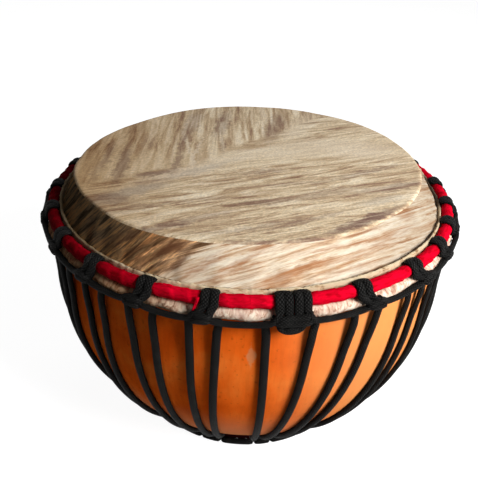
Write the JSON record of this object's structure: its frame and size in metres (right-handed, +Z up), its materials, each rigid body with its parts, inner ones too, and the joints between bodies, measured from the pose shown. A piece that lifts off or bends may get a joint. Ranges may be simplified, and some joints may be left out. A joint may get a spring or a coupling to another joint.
{
  "type": "bara drum",
  "caption": "Bowl-shaped bara drum with a flat laced goatskin head, a cloth-wound crown ring and black cord lacing.",
  "frame": {"origin": "centre of the flat foot, on the surface that the drum stands on", "axes": "+Z up through the head's centre, -Y to the front, where the double loop is 9 degrees towards +X"},
  "size_m": [0.321, 0.3208, 0.2179],
  "materials": {
    "shell": "orange lacquer, smooth, fine grain",
    "drum_head": "goatskin, dry and streaked",
    "ring_steel": "plain round rod",
    "red_cloth": "bright red cotton strip",
    "dark_cloth": "dark red cotton strip",
    "cord": "black braided polyester cord"
  },
  "bodies": {
    "root": {"shell": "shell", "drum_head": "drum_head", "crown_ring": "ring_steel", "crown_ring_wrap": "red_cloth", "flesh_hoop": "ring_steel", "bottom_ring": "ring_steel", "bottom_ring_wrap": "dark_cloth", "crown_cord": "cord", "crown_knot": "cord", "lacing_cord": "cord", "lacing_knot": "cord"}
  },
  "joints": []
}
